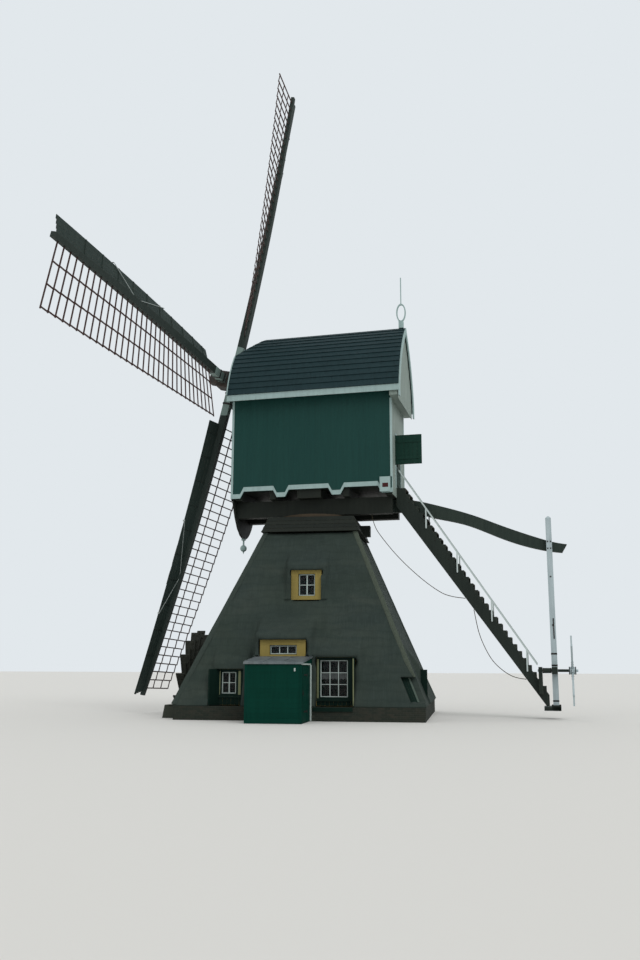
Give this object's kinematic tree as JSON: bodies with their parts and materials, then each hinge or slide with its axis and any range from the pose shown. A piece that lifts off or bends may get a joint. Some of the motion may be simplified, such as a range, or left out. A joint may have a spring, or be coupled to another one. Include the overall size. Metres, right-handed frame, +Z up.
{
  "type": "hollow post mill",
  "caption": "Traditional Dutch hollow post mill: thatched tower with its scoop wheel, boarded mill house with lattice sails, outside stair, tail post and winding wheel.",
  "frame": {"origin": "on the ground, at the middle of the ground floor slab's underside, on the axis of the post", "axes": "+Z up along the post, -Y out of the tower's front with the porch and its windows, +X to the tower's right side"},
  "size_m": [17.3098, 27.1121, 27.269],
  "materials": {
    "bearing_wood": "satin",
    "black_iron": "satin",
    "brick": "matt",
    "dark_roof": "matt",
    "dark_timber": "satin",
    "floor_tiles": "matt",
    "green_boards": "gloss",
    "grey_sheet": "matt",
    "red_brown": "matt",
    "rope": "matt",
    "sail_boards": "satin",
    "sail_cloth": "matt",
    "stair_green": "satin",
    "stock_paint": "gloss",
    "thatch": "matt",
    "wheel_timber": "matt",
    "white_paint": "gloss",
    "window_glass": "clear",
    "yellow_frames": "gloss"
  },
  "bodies": {
    "tower": {"ground_floor": "floor_tiles", "brick_foot": "brick", "pit_kerb": "brick", "thatch_front": "thatch", "thatch_right": "thatch", "thatch_back": "thatch", "thatch_left": "thatch", "window_frames": "yellow_frames", "window_glass": "window_glass", "upper_floor": "dark_timber", "tower_head": "dark_timber", "hollow_post": "dark_timber", "bearing_ring": "bearing_wood", "front_porch_walls": "green_boards", "porch_door_frame": "green_boards", "window_cheeks": "green_boards", "scoop_wheel": "wheel_timber", "porch_roof": "grey_sheet"},
    "house": {"house_floor": "dark_timber", "cross_beams": "dark_timber", "long_bearers": "dark_timber", "shaft_beams": "dark_timber", "tail_beam": "dark_timber", "house_wall_near": "green_boards", "house_wall_far": "green_boards", "front_wall": "green_boards", "front_apron": "green_boards", "back_wall": "green_boards", "stair_door": "green_boards", "rear_gable": "green_boards", "roof_near": "dark_roof", "roof_far": "dark_roof", "front_hip": "dark_roof", "wall_trim": "white_paint", "pendant": "white_paint", "eaves_boards": "white_paint", "rear_bargeboard": "white_paint", "finial": "white_paint", "tail_post": "white_paint", "handrails": "white_paint", "winch_bearings": "white_paint", "stair_strings": "stair_green", "stair_treads": "stair_green", "brake_rope": "rope", "hand_rope": "rope"},
    "sails": {"near_sail_lattice": "red_brown", "near_sail_boards": "sail_boards", "top_sail_lattice": "red_brown", "top_sail_boards": "sail_boards", "far_sail_lattice": "red_brown", "far_sail_boards": "sail_boards", "bottom_sail_lattice": "red_brown", "bottom_sail_boards": "sail_boards", "outer_stock": "stock_paint", "inner_stock": "stock_paint", "windshaft": "black_iron", "sail_cloths": "sail_cloth"},
    "winding_wheel": {"winding_wheel": "white_paint"},
    "porch_door": {"porch_door": "green_boards"}
  },
  "joints": [
    {"name": "house_yaw", "type": "hinge", "parent": "tower", "child": "house", "pos_m": [0, 0, 8.4], "axis": [0, 0, 1], "continuous": true},
    {"name": "sails_turn", "type": "hinge", "parent": "house", "child": "sails", "pos_m": [-3.93135, 0.38339, 13.9], "axis": [-0.9709, 0.0947, 0.2198], "continuous": true},
    {"name": "wheel_turn", "type": "hinge", "parent": "house", "child": "winding_wheel", "pos_m": [9.03691, -1.39874, 1.74], "axis": [0.9953, -0.0971, 0], "continuous": true},
    {"name": "porch_door_swing", "type": "hinge", "parent": "tower", "child": "porch_door", "pos_m": [0.46, -5.13, 0.955], "axis": [0, 0, 1], "range_deg": [0, 110]}
  ]
}
